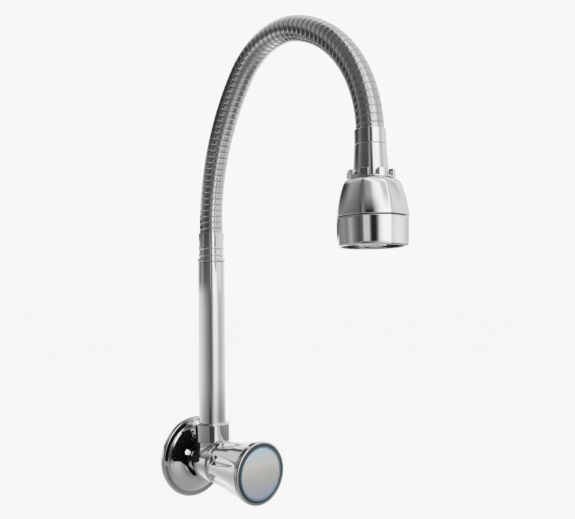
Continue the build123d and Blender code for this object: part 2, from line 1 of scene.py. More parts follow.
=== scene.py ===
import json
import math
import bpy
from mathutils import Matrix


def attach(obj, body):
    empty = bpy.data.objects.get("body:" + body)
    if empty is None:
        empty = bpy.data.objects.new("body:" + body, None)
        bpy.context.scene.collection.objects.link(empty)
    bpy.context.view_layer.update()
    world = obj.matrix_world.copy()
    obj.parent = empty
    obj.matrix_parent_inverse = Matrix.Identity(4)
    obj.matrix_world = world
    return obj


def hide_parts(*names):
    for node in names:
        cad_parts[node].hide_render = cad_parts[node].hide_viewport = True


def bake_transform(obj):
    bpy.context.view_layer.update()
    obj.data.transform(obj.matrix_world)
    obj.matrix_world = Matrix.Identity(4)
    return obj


bl_info = {
    "name": "Gooseneck Tap",
    "version": (1, 0, 0),
    "blender": (4, 5, 0),
    "location": "View3D > Sidebar > Tap",
    "description": "Dresses the tap's solid model with its plated, ribbed and moulded pieces "
                   "and lights it",
    "category": "Object",
}

import bmesh
import bpy
from bpy.props import FloatProperty, FloatVectorProperty, IntProperty, PointerProperty
from mathutils import Matrix, Vector

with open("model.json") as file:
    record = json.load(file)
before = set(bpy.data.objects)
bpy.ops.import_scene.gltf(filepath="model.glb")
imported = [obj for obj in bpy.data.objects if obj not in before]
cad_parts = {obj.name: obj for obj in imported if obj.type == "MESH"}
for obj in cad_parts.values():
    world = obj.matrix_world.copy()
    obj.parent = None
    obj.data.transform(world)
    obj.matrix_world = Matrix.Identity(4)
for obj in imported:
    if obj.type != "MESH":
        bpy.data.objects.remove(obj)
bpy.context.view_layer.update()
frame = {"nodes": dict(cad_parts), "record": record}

# Pieces are modelled in millimetres and turned to metres when they are finished.
SIDE = Vector((1, 0, 0))
VALVE = (Vector((0, 0, 0)), Vector((0, -1, 0)))        # the valve's axis, out of the wall
RISER = (Vector((0, -26, 0)), Vector((0, 0, 1)))
HEAD = (Vector((0, -198.7, 0)), Vector((0, 0, 1)))

# The hose's line: its lower end, its plain straight ends, and its bends in order.
HOSE_FOOT = Vector((0, -26, 175.8))
HOSE_STRAIGHT = 18.7
BEND_RADII = (188.0, 60.0, 96.0)
BEND_TURNS = (38.8, 69.9, 71.3)
HOSE_LENGTH = 2 * HOSE_STRAIGHT + sum(
    radius * math.radians(turn) for radius, turn in zip(BEND_RADII, BEND_TURNS)
)
RIBS_START = 12.2
RIBS_END = HOSE_LENGTH - 20.4

# The hose is highest where it has turned a quarter, and its two halves meet there.
APEX = (
    HOSE_STRAIGHT + math.radians(BEND_TURNS[0]) * BEND_RADII[0]
    + math.radians(90 - BEND_TURNS[0]) * BEND_RADII[1]
)

HOSE_R, HOSE_BORE, HOSE_SIDES = 9.25, 7.3, 56
TUBE_R, TUBE_BORE, TUBE_SIDES = 5.0, 3.4, 32
RIB_RINGS = 12         # rings of corners along one rib of the hose
SMOOTH_RINGS = 40      # and along half of the water tube or of the hose's bore

FACETS = 8
LUGS = 8
FLUTES = 8
NOZZLES = 16

# Turns a flat card to face out of the wall.
FACING_OUT = Matrix.Rotation(math.pi / 2, 4, "X")


class TapSizes(bpy.types.PropertyGroup):
    steps: IntProperty(
        name="Steps", description="Faces round a turned piece", default=144, min=48, max=256
    )
    ribs: IntProperty(name="Hose ribs", description="Turns of the hose's strip", default=64)
    groove: FloatProperty(
        name="Groove depth", description="How deep the hose's winding is", default=0.18,
        unit="NONE",
    )
    crown: FloatProperty(
        name="Facet crown",
        description="How round the head's facets are, from 0, flat, to 1",
        default=0.35,
        subtype="FACTOR",
    )
    flute: FloatProperty(
        name="Flute depth", description="Depth of the knob's flutes at the back", default=1.7
    )


class TapFinish(bpy.types.PropertyGroup):
    chrome: FloatVectorProperty(
        name="Chrome", description="Colour of the plating", subtype="COLOR",
        default=(0.84, 0.845, 0.85),
    )
    polish: FloatProperty(
        name="Polish", description="Roughness of the plating", default=0.05, subtype="FACTOR"
    )
    hose: FloatVectorProperty(
        name="Hose steel", description="Colour of the wound hose", subtype="COLOR",
        default=(0.72, 0.725, 0.73),
    )
    cold: FloatVectorProperty(
        name="Cold mark", description="Colour of the ring in the knob", subtype="COLOR",
        default=(0.2, 0.31, 0.38),
    )
    cap: FloatVectorProperty(
        name="Cap", description="Colour of the knob's cap", subtype="COLOR",
        default=(0.74, 0.72, 0.69),
    )


class TapStudio(bpy.types.PropertyGroup):
    backdrop: FloatProperty(
        name="Backdrop", description="Brightness of the backdrop and the floor", default=0.93
    )
    floor: FloatProperty(
        name="Floor height", description="Height of the floor", default=-0.2, unit="LENGTH"
    )
    fill: FloatProperty(name="Fill", description="Light from all round", default=0.95)
    softbox: FloatProperty(
        name="Softbox", description="Power of the lamp at the front", default=3.1, unit="POWER"
    )
    top: FloatProperty(
        name="Top lamp", description="Power of the lamp overhead", default=2.5, unit="POWER"
    )
    bearing: FloatProperty(
        name="Camera bearing", description="Where the camera stands, round from the front",
        default=math.radians(-43.846), subtype="ANGLE",
    )
    tilt: FloatProperty(
        name="Camera tilt", description="How far the camera looks down",
        default=math.radians(-3.479), subtype="ANGLE",
    )
    roll: FloatProperty(
        name="Camera roll", description="Turn about the view", default=math.radians(0.791),
        subtype="ANGLE",
    )
    lens: FloatProperty(name="Lens", description="Focal length", default=41.072, unit="CAMERA")
    stand: FloatVectorProperty(
        name="Camera place", description="Where the camera stands", subtype="TRANSLATION",
        default=(-0.335269, -0.467561, 0.131812),
    )


def sizes():
    return bpy.context.scene.tap_sizes


def finish():
    return bpy.context.scene.tap_finish


def studio():
    return bpy.context.scene.tap_studio


# Materials


class Nodes:
    """A node tree being built, and short ways to add and join its nodes."""

    def __init__(self, tree):
        self.nodes = tree.nodes
        self.links = tree.links

    def add(self, kind, inputs=None, **settings):
        node = self.nodes.new(kind)
        for key, value in settings.items():
            setattr(node, key, value)
        for key, value in (inputs or {}).items():
            self.put(node.inputs[key], value)
        return node

    def put(self, socket, value):
        if isinstance(value, bpy.types.NodeSocket):
            self.links.new(value, socket)
        else:
            socket.default_value = value

    def calc(self, operation, *values):
        return self.add("ShaderNodeMath", dict(enumerate(values)), operation=operation).outputs[0]

    def calc_vector(self, operation, *values):
        """Works on vectors. A length or a dot product is a number."""
        node = self.add("ShaderNodeVectorMath", dict(enumerate(values)), operation=operation)
        return node.outputs["Value" if operation in ("LENGTH", "DOT_PRODUCT") else "Vector"]

    def glow(self, colour, strength=1.0):
        return self.add("ShaderNodeEmission", {"Color": colour, "Strength": strength}).outputs[0]

    def blended(self, share, first, second):
        """A mix of two shaders."""
        return self.add("ShaderNodeMixShader", {0: share, 1: first, 2: second}).outputs[0]

    def seen_or_mirrored(self):
        """1 for what the camera sees, also in metal and through glass."""
        path = self.add("ShaderNodeLightPath").outputs
        mirrored = self.calc("MAXIMUM", path["Is Glossy Ray"], path["Is Transmission Ray"])
        return self.calc("MAXIMUM", path["Is Camera Ray"], mirrored)


class Skin(Nodes):
    """A material being built."""

    def __init__(self, name):
        self.material = bpy.data.materials.new(name)
        self.material.use_nodes = True
        super().__init__(self.material.node_tree)
        self.shader = self.nodes["Principled BSDF"]
        self.place = self.add("ShaderNodeTexCoord").outputs["Object"]

    def set(self, **values):
        for key, value in values.items():
            self.put(self.shader.inputs[key.replace("_", " ")], value)

    def show(self, shader):
        """Shows another shader in place of the material's own."""
        self.put(self.nodes["Material Output"].inputs["Surface"], shader)

    def noise(self, scale, detail=3.0, place=None):
        inputs = {"Vector": place or self.place, "Scale": scale, "Detail": detail}
        return self.add("ShaderNodeTexNoise", inputs).outputs["Fac"]

    def ranged(self, value, low, high, start=0.3, end=0.7):
        inputs = {
            "Value": value, "From Min": start, "From Max": end, "To Min": low, "To Max": high,
        }
        return self.add("ShaderNodeMapRange", inputs).outputs[0]

    def mixed(self, share, first, second):
        """A mix of two colours, which are the node's inputs 6 and 7."""
        node = self.add("ShaderNodeMix", {0: share, 6: first, 7: second}, data_type="RGBA")
        return node.outputs[2]

    def clouded(self, cloud, colour, least):
        """A colour that in places is darker, down to a share of itself."""
        return self.mixed(self.ranged(cloud, 0.0, 1.0), shade(colour, least), shade(colour, 1.0))

    def ramp(self, share, stops):
        """Colours along a share that runs from 0 to 1, the first and the last stop's places."""
        node = self.add("ShaderNodeValToRGB", {"Fac": share})
        elements = node.color_ramp.elements
        elements[0].color, elements[1].color = stops[0][1], stops[-1][1]
        for at, colour in stops[1:-1]:
            elements.new(at).color = colour
        return node.outputs[0]

    def bump(self, height, distance, strength):
        inputs = {"Height": height, "Distance": distance, "Strength": strength}
        return self.add("ShaderNodeBump", inputs).outputs[0]


def shade(colour, share):
    return (*(c * share for c in colour[:3]), 1)


def plated(name, colour, roughness, wear=1.0):
    """Bright plating over a cast or drawn piece: cloudy polish, faint water marks, fine dust."""
    skin = Skin(name)
    cloud = skin.noise(28.0, 5.0)
    marks = skin.add("ShaderNodeTexVoronoi", {"Vector": skin.place, "Scale": 190.0}).outputs[0]
    ring = skin.ranged(marks, 1.0, 0.0, 0.05, 0.3)
    polish = skin.ranged(cloud, roughness * 0.6, roughness * (1.0 + wear))
    spots = skin.calc("MULTIPLY", ring, roughness * 0.5 * wear)
    skin.set(
        Base_Color=skin.clouded(cloud, colour, 0.96),
        Metallic=1.0,
        Roughness=skin.calc("ADD", polish, spots),
        Normal=skin.bump(skin.noise(420.0, 2.0), 0.00002, 0.1),
    )
    return skin.material


def wound(name, colour, roughness):
    """The hose's wound steel strip: brushed along its turns, dull down in the winding, and
    darkened there by painted shade.
    """
    skin = Skin(name)
    depth = skin.add("ShaderNodeAttribute", attribute_name="groove").outputs["Fac"]
    cloud = skin.noise(60.0, 4.0)
    # Painted shade: the colour darkens to 0.7 of itself down in the winding's groove and in the
    # bore.
    painted_groove_shade = skin.calc("POWER", depth, 1.6)
    dull = skin.calc("MULTIPLY_ADD", depth, 0.3, roughness)
    skin.set(
        Base_Color=skin.mixed(painted_groove_shade, skin.clouded(cloud, colour, 0.9), shade(colour, 0.7)),
        Metallic=1.0,
        Roughness=skin.calc("ADD", dull, skin.ranged(cloud, 0.0, 0.08)),
        Normal=skin.bump(skin.noise(1500.0, 2.0), 0.00002, 0.15),
    )
    return skin.material


def raw_metal(name, colour, roughness):
    """Bare turned metal inside the tap, with tool marks and a dull film."""
    skin = Skin(name)
    stretched = {"Vector": skin.place, "Scale": (900.0, 900.0, 60.0)}
    lines = skin.noise(1.0, 2.0, skin.add("ShaderNodeMapping", stretched).outputs[0])
    film = skin.noise(90.0, 4.0)
    skin.set(
        Base_Color=skin.clouded(film, colour, 0.8),
        Metallic=1.0,
        Roughness=skin.ranged(film, roughness * 0.8, roughness * 1.3),
        Normal=skin.bump(lines, 0.00004, 0.5),
    )
    return skin.material


def moulded(name, colour, roughness, grain=0.35):
    """Moulded plastic or rubber: a fine spark-eroded grain and slightly uneven colour."""
    skin = Skin(name)
    cloud = skin.noise(70.0, 4.0)
    skin.set(
        Base_Color=skin.clouded(cloud, colour, 0.85),
        Roughness=skin.ranged(cloud, roughness * 0.85, roughness * 1.15),
        Normal=skin.bump(skin.noise(1800.0, 2.0), 0.00003, grain),
    )
    return skin.material


def from_axis(skin):
    """How far a place is from the valve's axis, and how high it is."""
    apart = skin.add("ShaderNodeSeparateXYZ", {"Vector": skin.place}).outputs
    across = skin.add("ShaderNodeCombineXYZ", {"X": apart["X"], "Z": apart["Z"]}).outputs[0]
    return skin.calc_vector("LENGTH", across), apart["Z"]


def tinted_ring(name, colour):
    """The cold mark: a clear tinted ring, pale where it slopes in and painted dark at its outer
    edge: painted shadow of the groove between the knob's lip and the ring.
    """
    skin = Skin(name)
    radius, _ = from_axis(skin)
    cloud = skin.noise(70.0, 4.0)
    # Painted shadow: beyond this radius the ring's colour turns near black, for the shade in the
    # groove at its outer edge.
    edge = skin.ranged(radius, 0.0, 1.0, 0.0196, 0.0204)
    skin.set(
        Base_Color=skin.mixed(edge, skin.clouded(cloud, colour, 0.85), (0.018, 0.03, 0.042, 1)),
        Roughness=skin.ranged(cloud, 0.15, 0.25),
        Coat_Weight=0.5,
        Normal=skin.bump(skin.noise(1800.0, 2.0), 0.00003, 0.1),
    )
    return skin.material


def spun_cap(name, colour):
    """The knob's cap: silver, spun in fine rings and lacquered. A painted reflection runs over it
    by height: cool blue at its top and bottom, its own warm grey and lighter between.
    """
    skin = Skin(name)
    radius, height = from_axis(skin)
    lines = skin.noise(5200.0, 2.0, skin.add("ShaderNodeCombineXYZ", {"X": radius}).outputs[0])
    cloud = skin.noise(45.0, 3.0)
    # Painted reflection: colours by height, standing for the blue ring and surroundings the cap
    # mirrors.
    painted_cap_reflection = skin.ramp(skin.ranged(height, 0.0, 1.0, -0.0185, 0.0185), (
        (0.0, (0.44, 0.53, 0.66, 1)), (0.2, (0.56, 0.59, 0.66, 1)), (0.42, shade(colour, 0.9)),
        (0.7, shade(colour, 1.08)), (0.86, (0.7, 0.77, 0.8, 1)), (1.0, (0.64, 0.79, 0.87, 1)),
    ))
    skin.set(
        Base_Color=skin.mixed(skin.ranged(cloud, 0.0, 0.2), painted_cap_reflection, shade(colour, 0.85)),
        Metallic=0.45,
        Roughness=skin.ranged(lines, 0.26, 0.38),
        Coat_Weight=0.35,
        Coat_Roughness=0.08,
        Normal=skin.bump(lines, 0.00002, 0.35),
    )
    return skin.material


def screen(name, colour):
    """Fine woven wire cloth in the middle of the spray face."""
    skin = Skin(name)
    across = [
        skin.add(
            "ShaderNodeTexWave", {"Vector": skin.place, "Scale": 420.0}, bands_direction=way
        ).outputs["Fac"]
        for way in ("X", "Y")
    ]
    wires = skin.calc("MAXIMUM", *across)
    solid = skin.ranged(wires, 0.0, 1.0, 0.45, 0.8)
    skin.set(
        Base_Color=skin.mixed(solid, (0.01, 0.01, 0.012, 1), shade(colour, 1.0)),
        Metallic=0.9,
        Roughness=skin.ranged(skin.noise(150.0), 0.28, 0.42),
        Normal=skin.bump(wires, 0.0001, 0.8),
    )
    return skin.material


# The material of each slot, filled by the first operator.
SKINS = {}


def make_skins():
    look = finish()
    chrome, polish = look.chrome, look.polish
    SKINS.update(
        flange_chrome=plated("flange_plating", chrome, polish),
        body_chrome=plated("body_plating", chrome, polish * 1.2),
        knob_chrome=plated("knob_plating", chrome, polish),
        spout_chrome=plated("spout_plating", chrome, polish * 1.5, 1.4),
        head_chrome=plated("head_plating", chrome, polish * 0.5),
        hose_steel=wound("wound_steel", look.hose, 0.07),
        cold_blue=tinted_ring("cold_blue_ring", look.cold),
        cap_silver=spun_cap("spun_silver_cap", look.cap),
        brass=raw_metal("turned_brass", (0.72, 0.5, 0.22), 0.28),
        steel=raw_metal("screw_steel", (0.6, 0.6, 0.61), 0.3),
        ceramic=moulded("ground_ceramic", (0.86, 0.85, 0.82), 0.2, 0.05),
        rubber=moulded("black_rubber", (0.018, 0.018, 0.02), 0.55),
        nylon=moulded("white_nylon", (0.82, 0.82, 0.8), 0.45),
        hose_liner=moulded("liner_tube", (0.75, 0.76, 0.76), 0.35),
        insert_plastic=moulded("grey_insert", (0.3, 0.31, 0.32), 0.5),
        plate_plastic=moulded("dark_spray_plate", (0.09, 0.092, 0.1), 0.42),
        mesh_steel=screen("woven_screen", (0.55, 0.56, 0.57)),
    )


# Modelling helpers


def turned(axis, profile, steps=0, share=1.0, first=0.0):
    """Spins a closed profile about an axis. A corner is a radius, a place along the axis and,
    where it is rounded, how far the rounding reaches along its sides."""
    origin, ahead = axis
    bm = bmesh.new()
    side = Matrix.Rotation(first, 3, ahead) @ SIDE
    corners = [bm.verts.new(origin + side * c[0] + ahead * c[1]) for c in profile]
    for a, b in zip(corners, corners[1:] + corners[:1]):
        bm.edges.new((a, b))
    for corner, c in zip(corners, profile):
        if len(c) > 2:
            bmesh.ops.bevel(
                bm, geom=[corner], offset=c[2], offset_type="OFFSET", segments=4, profile=0.5,
                affect="VERTICES", material=-1,
            )
    bmesh.ops.spin(
        bm, geom=bm.verts[:] + bm.edges[:], cent=origin, axis=ahead, angle=math.tau * share,
        steps=steps or sizes().steps, use_merge=share == 1.0,
    )
    tidy(bm)
    return bm


def tidy(bm):
    """Closes seams and poles, drops what has no face, and turns the faces outwards."""
    bmesh.ops.remove_doubles(bm, verts=bm.verts, dist=0.0005)
    bmesh.ops.delete(bm, geom=[e for e in bm.edges if not e.link_faces], context="EDGES")
    bmesh.ops.recalc_face_normals(bm, faces=bm.faces)


def join(target, other):
    """Puts another piece's mesh into one."""
    part = bpy.data.meshes.new("part")
    other.to_mesh(part)
    other.free()
    target.from_mesh(part)
    bpy.data.meshes.remove(part)


def piece(name, bm, slot, stands_for=(), sharp=50.0):
    """Finishes a mesh as a piece at the origin, in metres, with its skin."""
    bmesh.ops.scale(bm, vec=Vector((0.001, 0.001, 0.001)), verts=bm.verts)
    for face in bm.faces:
        face.smooth = True
    mesh = bpy.data.meshes.new(name)
    bm.to_mesh(mesh)
    bm.free()
    obj = bpy.data.objects.new(name, mesh)
    bpy.context.scene.collection.objects.link(obj)
    mesh.materials.append(SKINS[slot])
    mesh.set_sharp_from_angle(angle=math.radians(sharp))
    weighted = obj.modifiers.new("even_shading", "WEIGHTED_NORMAL")
    weighted.keep_sharp = True
    if stands_for:
        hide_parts(*stands_for)
    return obj


def faceted(bm, least, crown):
    """Draws a turned outside in to eight sides, whose middles stay where flat sides would be."""
    half = math.pi / FACETS
    for vert in bm.verts:
        out = vert.co.xy - HEAD[0].xy
        if out.length > least:
            off = (math.atan2(out.y, out.x) + half) % (2 * half) - half
            share = math.cos(half) / math.cos(off) ** (1 - crown)
            vert.co.xy = HEAD[0].xy + out * share


class Making:
    """What every making operator shares."""

    bl_options = {"REGISTER", "UNDO"}


class TAP_OT_skins(Making, bpy.types.Operator):
    """Make the materials, and put them on the inner pieces that keep their solid shape"""

    bl_idname = "tap.skins"
    bl_label = "Materials and inner pieces"

    def execute(self, context):
        make_skins()
        slots = {row["node"]: row["material_slot"] for row in frame["record"]["subparts"]}
        for name, node in frame["nodes"].items():
            for held in node.material_slots:
                held.material = SKINS[slots[name]]
        return {"FINISHED"}


class TAP_OT_flange(Making, bpy.types.Operator):
    """Make the domed cover plate against the wall"""

    bl_idname = "tap.flange"
    bl_label = "Wall flange"

    def execute(self, context):
        dome = [(27.6 - 14.1 * t, 4.3 + 4.65 * math.sin(t * math.pi / 2)) for t in
                (0.0, 0.12, 0.25, 0.38, 0.5, 0.62, 0.75, 0.88, 1.0)]
        under = [(r - 0.5, depth - 1.0) for r, depth in dome]
        bm = turned(VALVE, [
            (32.9, 0.0, 0.2), (32.9, 3.2, 1.4), (28.3, 3.55, 0.4), *dome,
            (10.7, 8.95, 0.3), (10.7, 7.95), *reversed(under), (31.0, 2.2), (31.9, 0.0),
        ])
        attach(piece("wall_flange_plate", bm, "flange_chrome", ["wall_flange"], 60.0), "root")
        return {"FINISHED"}


class TAP_OT_body(Making, bpy.types.Operator):
    """Make the cast body with its threaded inlet, its barrel and the boss of the spout"""

    bl_idname = "tap.body"
    bl_label = "Valve body"

    def execute(self, context):
        bm = turned(VALVE, [
            (7.0, -14.0, 0.2), (9.3, -14.0, 0.6), (9.3, 0.2), (10.1, 0.2), (10.1, 8.9),
            (12.0, 8.9, 0.3), (12.0, 19.4, 1.6), (16.5, 20.8, 2.4), (16.5, 37.0, 0.8),
            (9.7, 37.0, 0.3), (9.7, 21.0), (5.5, 21.0), (5.5, 19.0), (7.0, 19.0),
        ])
        self.add_boss(bm)
        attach(piece("cast_valve_body", bm, "body_chrome", ["valve_body"]), "root")
        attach(piece("inlet_thread", self.thread(), "body_chrome"), "root")
        return {"FINISHED"}

    def add_boss(self, bm):
        """An upright boss whose foot flares onto the barrel at its sides, and meets the neck at
        the back. The foot's rings are each so far out and so high over the barrel."""
        centre = RISER[0]
        boss_r, barrel_r, neck_r = 13.2, 16.5, 12.0
        ring = bmesh.ops.create_circle(
            bm, segments=sizes().steps, radius=boss_r,
            matrix=Matrix.Translation(centre + Vector((0, 0, 25))),
        )["verts"]
        for grow, lift in ((0.0, 2.6), (0.15, 1.5), (0.6, 0.7), (1.3, 0.2), (2.2, -0.5)):
            edges = list({e for v in ring for e in v.link_edges if e.is_boundary or e.is_wire})
            made = bmesh.ops.extrude_edge_only(bm, edges=edges)["geom"]
            ring = [v for v in made if isinstance(v, bmesh.types.BMVert)]
            for vert in ring:
                out = (vert.co.xy - centre.xy).normalized()
                flare = max(0.0, min(1.0, (0.4 - out.y) / 0.3)) if out.y > -0.8 else 0.0
                vert.co.xy = centre.xy + out * (boss_r + grow * flare)
                under = neck_r if out.y > 0.4 else barrel_r
                reach = math.sqrt(under ** 2 - min(abs(vert.co.x), under - 0.7) ** 2)
                vert.co.z = reach + (lift * flare if flare else min(lift, 0.0))
        bmesh.ops.recalc_face_normals(bm, faces=bm.faces)

    def thread(self):
        """The pipe thread, a ridge wound on the inlet's core."""
        turns, pitch, steps = 6, 1.814, 6 * 72
        bm = bmesh.new()
        at = [(9.0, -13.2), (10.45, -12.45), (10.45, -12.2), (9.0, -11.45)]
        corners = [bm.verts.new(VALVE[0] + SIDE * r + VALVE[1] * d) for r, d in at]
        for a, b in zip(corners, corners[1:]):
            bm.edges.new((a, b))
        bmesh.ops.spin(
            bm, geom=bm.verts[:] + bm.edges[:], cent=VALVE[0], axis=VALVE[1],
            angle=math.tau * turns, steps=steps, dvec=VALVE[1] * (pitch * turns / steps),
        )
        bmesh.ops.holes_fill(bm, edges=bm.edges, sides=0)
        tidy(bm)
        return bm


class TAP_OT_shroud(Making, bpy.types.Operator):
    """Make the round cover between the barrel and the knob"""

    bl_idname = "tap.shroud"
    bl_label = "Bonnet shroud"

    def execute(self, context):
        bm = turned(VALVE, [
            (13.8, 37.05), (15.0, 37.05, 0.3), (15.0, 44.4, 0.9), (7.6, 44.4, 0.2),
            (7.6, 43.2), (13.8, 43.2),
        ])
        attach(piece("bonnet_cover", bm, "body_chrome", ["bonnet_shroud"]), "root")
        return {"FINISHED"}


class TAP_OT_knob(Making, bpy.types.Operator):
    """Make the fluted knob with its blue ring and silver cap"""

    bl_idname = "tap.knob"
    bl_label = "Knob"

    def execute(self, context):
        taper = [(17.8 + 5.1 * t, 43.4 + 37.6 * t) for t in (n / 26 for n in range(1, 26))]
        bm = turned(VALVE, [
            (15.6, 43.4, 0.3), (17.8, 43.4, 0.8), *taper, (22.9, 81.0, 0.5), (23.7, 82.0, 0.5),
            (23.7, 86.3, 1.1), (21.9, 86.3, 0.25), (21.9, 84.3), (4.0, 84.3), (4.0, 82.0),
            (6.6, 80.4), (18.6, 81.0), (16.2, 51.0),
        ], steps=192)
        self.scoop(bm)
        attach(piece("fluted_knob", bm, "knob_chrome", ["knob_handle"]), "knob")
        ring = turned(VALVE, [
            (18.97, 84.35), (21.8, 84.35), (21.8, 86.1, 0.3), (20.6, 86.62, 0.5),
            (18.97, 86.5, 0.3),
        ])
        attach(piece("cold_ring", ring, "cold_blue", ["index_ring"]), "knob")
        crown = [(18.5 * t, 86.46 + 0.9 * (1 - t * t)) for t in (0.9, 0.75, 0.6, 0.45, 0.3, 0.15)]
        cap = turned(VALVE, [
            (0.0, 84.35), (18.9, 84.35), (18.9, 86.44, 0.35), (18.5, 86.5), *crown, (0.0, 87.36),
        ])
        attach(piece("silver_cap", cap, "cap_silver", ["cap_disc"]), "knob")
        return {"FINISHED"}

    def scoop(self, bm):
        """Presses straight flutes into the side, deep at the back and gone by the rim."""
        scoop_r, deep = 8.0, sizes().flute
        start, length = 46.4, 33.1
        back_r, widening = 18.2, 4.5
        each = math.tau / FLUTES
        for vert in bm.verts:
            depth = -vert.co.y
            radius = math.hypot(vert.co.x, vert.co.z)
            if not 45.2 < depth < 80.6 or radius < 17:      # off the tapered side
                continue
            share = (depth - start) / length
            line = back_r + widening * share + scoop_r - deep * (1 - max(share, 0.0))
            line += 0.9 * max(start - depth, 0.0)           # runs out at the back
            off = math.atan2(vert.co.z, vert.co.x) % each - each / 2
            across = line * math.sin(off)
            if abs(across) < scoop_r:
                cut = line * math.cos(off) - math.sqrt(scoop_r ** 2 - across ** 2)
                if cut < radius:
                    vert.co.xz = vert.co.xz * (cut / radius)


class TAP_OT_nut(Making, bpy.types.Operator):
    """Make the six-sided nut that holds the spout's foot"""

    bl_idname = "tap.nut"
    bl_label = "Spout nut"

    def execute(self, context):
        bm = bmesh.new()
        loops = []
        for z, radius, sided in (
            (15.8, 14.3, False), (16.1, 14.7, False), (17.0, 15.05, False), (17.2, 15.1, True),
            (30.3, 15.1, True), (30.5, 15.05, False), (31.3, 14.7, False), (31.63, 14.1, False),
            (31.63, 11.25, False), (28.0, 11.25, False), (28.0, 13.3, False), (15.8, 13.3, False),
        ):
            place = Matrix.Translation(RISER[0] + Vector((0, 0, z)))
            ring = bmesh.ops.create_circle(bm, segments=sizes().steps, radius=radius, matrix=place)
            if sided:
                self.draw_in(ring["verts"], radius)
            loops.append(list({e for v in ring["verts"] for e in v.link_edges}))
        for a, b in zip(loops, loops[1:] + loops[:1]):
            bmesh.ops.bridge_loops(bm, edges=a + b)
        tidy(bm)
        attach(piece("swivel_nut", bm, "body_chrome", ["spout_nut"], 62.0), "root")
        return {"FINISHED"}

    def draw_in(self, ring, corner_r):
        """Draws a ring in to six slightly round sides, whose corners keep a radius."""
        side = math.tau / 6
        half_flats, flatness = 13.8, 0.35
        for vert in ring:
            out = vert.co.xy - RISER[0].xy
            off = math.atan2(out.y, out.x) % side - side / 2
            reach = min(half_flats / math.cos(off) ** flatness, corner_r)
            vert.co.xy = RISER[0].xy + out.normalized() * reach


class TAP_OT_riser(Making, bpy.types.Operator):
    """Make the straight riser and the banded sleeve at its top"""

    bl_idname = "tap.riser"
    bl_label = "Riser and lower sleeve"

    def execute(self, context):
        tube = turned(RISER, [
            (9.9, 28.43), (11.0, 28.43, 0.2), (11.0, 164.0, 0.5), (9.9, 164.0, 0.1),
        ])
        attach(piece("drawn_riser", tube, "spout_chrome", ["riser_tube"]), "spout")
        bands = []
        for middle in (169.3, 175.1):
            bands += [
                (10.2, middle - 0.85, 0.15), (10.65, middle - 0.45, 0.18),
                (10.65, middle + 0.45, 0.18), (10.2, middle + 0.85, 0.15),
            ]
        sleeve = turned(RISER, [
            (3.4, 150.0), (9.87, 150.0, 0.5), (9.87, 164.03), (11.4, 164.03, 0.6),
            (11.4, 166.43, 0.8), (10.2, 166.43, 0.2), *bands, (10.2, 188.0, 0.6),
            (9.3, 188.0, 0.2), (9.3, 175.8), (5.2, 175.8), (5.2, 165.2), (3.4, 165.2),
        ])
        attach(piece("banded_sleeve", sleeve, "spout_chrome", ["lower_ferrule"]), "spout")
        return {"FINISHED"}


def hose_place(s):
    """Where the hose's centre is at length s, as a matrix whose Z runs along the hose."""
    turn = 0.0
    centre = HOSE_FOOT.copy()
    left = s - HOSE_STRAIGHT
    centre.z += min(s, HOSE_STRAIGHT)
    for radius, degrees in zip(BEND_RADII, BEND_TURNS):
        part = max(0.0, min(left / radius, math.radians(degrees)))
        chord = 2 * radius * math.sin(part / 2)
        middle = turn + part / 2
        centre += Vector((0, -math.sin(middle), math.cos(middle))) * chord
        turn += part
        left -= radius * part
    if left > 0:
        centre += Vector((0, -math.sin(turn), math.cos(turn))) * left
    return Matrix.Translation(centre) @ Matrix.Rotation(turn, 4, "X")


def hose_ring(bm, s, radius, segments):
    made = bmesh.ops.create_circle(bm, segments=segments, radius=radius, matrix=hose_place(s))
    return made["verts"]


def ring_edges(verts):
    return list({e for v in verts for e in v.link_edges if all(o in verts for o in e.verts)})


def hose_length_of(start, end, stations, outside, inside, segments):
    """A closed length of hose or tube. outside gives the radius at a length and an angle."""
    bm = bmesh.new()
    rings = []
    for i in range(stations + 1):
        s = start + (end - start) * i / stations
        ring = hose_ring(bm, s, 1.0, segments)
        place = hose_place(s)
        for vert in ring:
            flat = place.inverted() @ vert.co
            vert.co = place @ (flat * outside(s, math.atan2(flat.y, flat.x)))
        rings.append(ring)
    for i in range(SMOOTH_RINGS, -1, -1):
        s = start + (end - start) * i / SMOOTH_RINGS
        rings.append(hose_ring(bm, s, inside, segments))
    edges = [ring_edges(set(ring)) for ring in rings]
    for a, b in zip(edges, edges[1:] + edges[:1]):
        bmesh.ops.bridge_loops(bm, edges=a + b)
    bmesh.ops.recalc_face_normals(bm, faces=bm.faces)
    return bm


def rib_pitch():
    return (RIBS_END - RIBS_START) / sizes().ribs


def sunk(s, angle):
    """How deep the winding is at a place, as a share: one groove, climbing each turn."""
    crest = 0.6
    at = ((s - RIBS_START) / rib_pitch() - angle / math.tau) % 1.0
    near = max(0.0, abs(at - 0.5) * 2 - crest) / (1 - crest)
    return near * near * (3 - 2 * near)


def winding(s, angle):
    """The hose's radius at a place. The groove runs out at both ends."""
    fade = 3.0
    ends = min(1.0, max(0.0, (s - 8.0) / fade), max(0.0, (RIBS_END + fade - s) / fade))
    return HOSE_R - sizes().groove * sunk(s, angle) * ends


